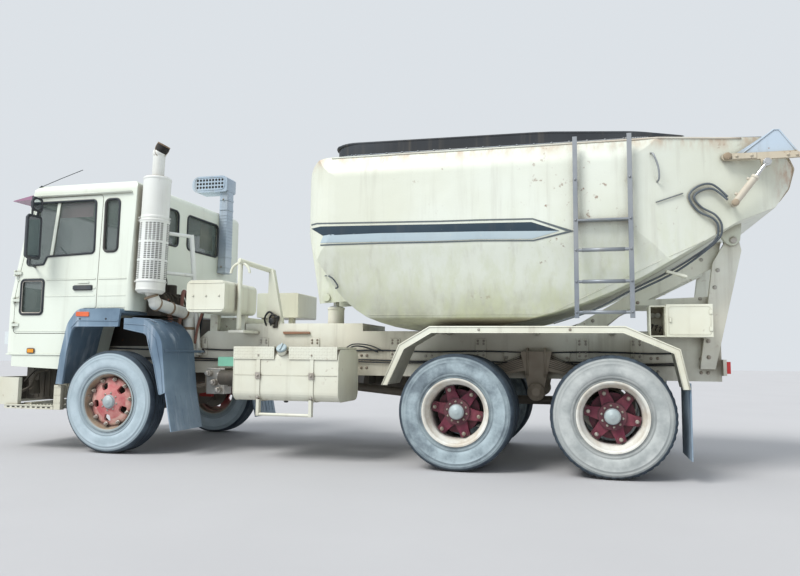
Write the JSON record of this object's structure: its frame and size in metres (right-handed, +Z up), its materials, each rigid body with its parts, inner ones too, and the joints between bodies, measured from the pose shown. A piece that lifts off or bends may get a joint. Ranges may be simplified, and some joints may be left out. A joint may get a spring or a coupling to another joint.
{
  "type": "open-tub concrete agitator truck",
  "caption": "Cab-over concrete truck with an open tipping tub, a rear discharge gate, a telescopic ram, a tilting cab and twin-wheeled rear axles",
  "frame": {"origin": "on the ground under the middle of the truck", "axes": "+X forward along the truck, +Y to its left side, +Z up"},
  "size_m": [8.1898, 2.9, 3.365],
  "materials": {
    "cream_paint": "weathered gloss",
    "dark_steel": "dusty satin",
    "red_paint": "gloss",
    "dark_plastic": "scuffed matte",
    "bright_metal": "weathered",
    "lamp_lens": "gloss",
    "window_glass": "clear",
    "tinted_plastic": "translucent",
    "trim": "matte",
    "grey_blue_plastic": "faded",
    "tyre_rubber": "dusty",
    "maroon_wheel": "dusty",
    "black_rubber": "matte",
    "galvanised": "dull",
    "rod_steel": "polished"
  },
  "bodies": {
    "chassis": {"chassis_frame": "cream_paint", "tipping_frame": "cream_paint", "powertrain": "dark_steel", "bumper": "cream_paint", "axles": "dark_steel", "springs": "dark_steel", "shocks": "red_paint", "fuel_tank": "cream_paint", "side_boxes": "dark_steel", "rear_mudguards": "cream_paint", "mud_flaps": "dark_plastic", "exhaust": "bright_metal", "tanks": "cream_paint", "service_stand": "cream_paint", "valve_box": "cream_paint", "tail_lamps": "lamp_lens"},
    "cab": {"cab_shell": "cream_paint", "cab_glass": "window_glass", "cab_interior": "trim", "cab_fenders": "dark_plastic", "visor": "tinted_plastic", "cab_lamps": "lamp_lens", "air_intake": "grey_blue_plastic"},
    "left_door": {"door_left": "cream_paint", "door_glass_left": "window_glass", "mirror_left": "dark_plastic"},
    "right_door": {"door_right": "cream_paint", "door_glass_right": "window_glass", "mirror_right": "dark_plastic"},
    "left_knuckle": {"knuckle_left": "dark_steel"},
    "right_knuckle": {"knuckle_right": "dark_steel"},
    "front_left_wheel": {"tyre_front_left": "tyre_rubber", "wheel_front_left": "maroon_wheel"},
    "front_right_wheel": {"tyre_front_right": "tyre_rubber", "wheel_front_right": "maroon_wheel"},
    "middle_left_wheels": {"tyres_middle_left": "tyre_rubber", "wheel_middle_left": "maroon_wheel"},
    "middle_right_wheels": {"tyres_middle_right": "tyre_rubber", "wheel_middle_right": "maroon_wheel"},
    "rear_left_wheels": {"tyres_rear_left": "tyre_rubber", "wheel_rear_left": "maroon_wheel"},
    "rear_right_wheels": {"tyres_rear_right": "tyre_rubber", "wheel_rear_right": "maroon_wheel"},
    "tub": {"tub_shell": "cream_paint", "tub_collar": "black_rubber", "ladder": "galvanised", "tub_hoses": "black_rubber"},
    "gate": {"gate": "grey_blue_plastic"},
    "gate_cylinders": {"gate_barrels": "cream_paint"},
    "gate_cylinder_rods": {"gate_rods": "rod_steel"},
    "ram": {"ram_barrel": "cream_paint"},
    "ram_1": {"ram_stage_1": "rod_steel"},
    "ram_2": {"ram_stage_2": "rod_steel"},
    "ram_3": {"ram_stage_3": "rod_steel"},
    "ram_4": {"ram_stage_4": "rod_steel"},
    "ram_5": {"ram_stage_5": "rod_steel"}
  },
  "joints": [
    {"name": "steer_left", "type": "hinge", "parent": "chassis", "child": "left_knuckle", "pos_m": [2.575, 0.87, 0.53], "axis": [0, 0, 1], "range_deg": [-35, 35]},
    {"name": "steer_right", "type": "hinge", "parent": "chassis", "child": "right_knuckle", "pos_m": [2.575, -0.87, 0.53], "axis": [0, 0, 1], "range_deg": [-35, 35]},
    {"name": "front_left_roll", "type": "hinge", "parent": "left_knuckle", "child": "front_left_wheel", "pos_m": [2.575, 1.08, 0.53], "axis": [0, 1, 0], "continuous": true},
    {"name": "front_right_roll", "type": "hinge", "parent": "right_knuckle", "child": "front_right_wheel", "pos_m": [2.575, -1.08, 0.53], "axis": [0, 1, 0], "continuous": true},
    {"name": "middle_left_roll", "type": "hinge", "parent": "chassis", "child": "middle_left_wheels", "pos_m": [-1.075, 0.9, 0.53], "axis": [0, 1, 0], "continuous": true},
    {"name": "middle_right_roll", "type": "hinge", "parent": "chassis", "child": "middle_right_wheels", "pos_m": [-1.075, -0.9, 0.53], "axis": [0, 1, 0], "continuous": true},
    {"name": "rear_left_roll", "type": "hinge", "parent": "chassis", "child": "rear_left_wheels", "pos_m": [-2.445, 0.9, 0.53], "axis": [0, 1, 0], "continuous": true},
    {"name": "rear_right_roll", "type": "hinge", "parent": "chassis", "child": "rear_right_wheels", "pos_m": [-2.445, -0.9, 0.53], "axis": [0, 1, 0], "continuous": true},
    {"name": "cab_tilt", "type": "hinge", "parent": "chassis", "child": "cab", "pos_m": [3.95, 0, 0.9], "axis": [0, 1, 0], "range_deg": [0, 55]},
    {"name": "left_door_open", "type": "hinge", "parent": "cab", "child": "left_door", "pos_m": [3.853, 1.19, 1.5], "axis": [0, 0, -1], "range_deg": [0, 70]},
    {"name": "right_door_open", "type": "hinge", "parent": "cab", "child": "right_door", "pos_m": [3.853, -1.19, 1.5], "axis": [0, 0, 1], "range_deg": [0, 70]},
    {"name": "tub_tip", "type": "hinge", "parent": "chassis", "child": "tub", "pos_m": [-3.56, 0, 2.13], "axis": [0, -1, 0], "range_deg": [0, 45]},
    {"name": "gate_lift", "type": "hinge", "parent": "tub", "child": "gate", "pos_m": [-3.464, 0, 2.817], "axis": [0, 1, 0], "range_deg": [0, 50]},
    {"name": "gate_cylinder_lean", "type": "hinge", "parent": "tub", "child": "gate_cylinders", "pos_m": [-3.509, 0, 2.394], "axis": [0, 1, 0], "range_deg": [0, 18.36]},
    {"name": "gate_rod_slide", "type": "slide", "parent": "gate_cylinders", "child": "gate_cylinder_rods", "axis": [-0.6076, 0, 0.7942], "range_m": [0, 0.2106]},
    {"name": "ram_lean", "type": "hinge", "parent": "chassis", "child": "ram", "pos_m": [0.518, 0, 0.93], "axis": [0, -1, 0], "range_deg": [0, 9]},
    {"name": "ram_slide_1", "type": "slide", "parent": "ram", "child": "ram_1", "axis": [0, 0, 1], "range_m": [0, 0.63]},
    {"name": "ram_slide_2", "type": "slide", "parent": "ram_1", "child": "ram_2", "axis": [0, 0, 1], "range_m": [0, 0.63]},
    {"name": "ram_slide_3", "type": "slide", "parent": "ram_2", "child": "ram_3", "axis": [0, 0, 1], "range_m": [0, 0.63]},
    {"name": "ram_slide_4", "type": "slide", "parent": "ram_3", "child": "ram_4", "axis": [0, 0, 1], "range_m": [0, 0.63]},
    {"name": "ram_slide_5", "type": "slide", "parent": "ram_4", "child": "ram_5", "axis": [0, 0, 1], "range_m": [0, 0.63]}
  ],
  "couplings": [
    {"joint": "steer_right", "follows": "steer_left", "ratio": 1},
    {"joint": "gate_cylinder_lean", "follows": "gate_lift", "ratio": 0.36724},
    {"joint": "gate_rod_slide", "follows": "gate_lift", "m_per_rad": 0.24138},
    {"joint": "ram_lean", "follows": "tub_tip", "ratio": 0.2},
    {"joint": "ram_slide_1", "follows": "tub_tip", "m_per_rad": 0.80214},
    {"joint": "ram_slide_2", "follows": "tub_tip", "m_per_rad": 0.80214},
    {"joint": "ram_slide_3", "follows": "tub_tip", "m_per_rad": 0.80214},
    {"joint": "ram_slide_4", "follows": "tub_tip", "m_per_rad": 0.80214},
    {"joint": "ram_slide_5", "follows": "tub_tip", "m_per_rad": 0.80214}
  ]
}
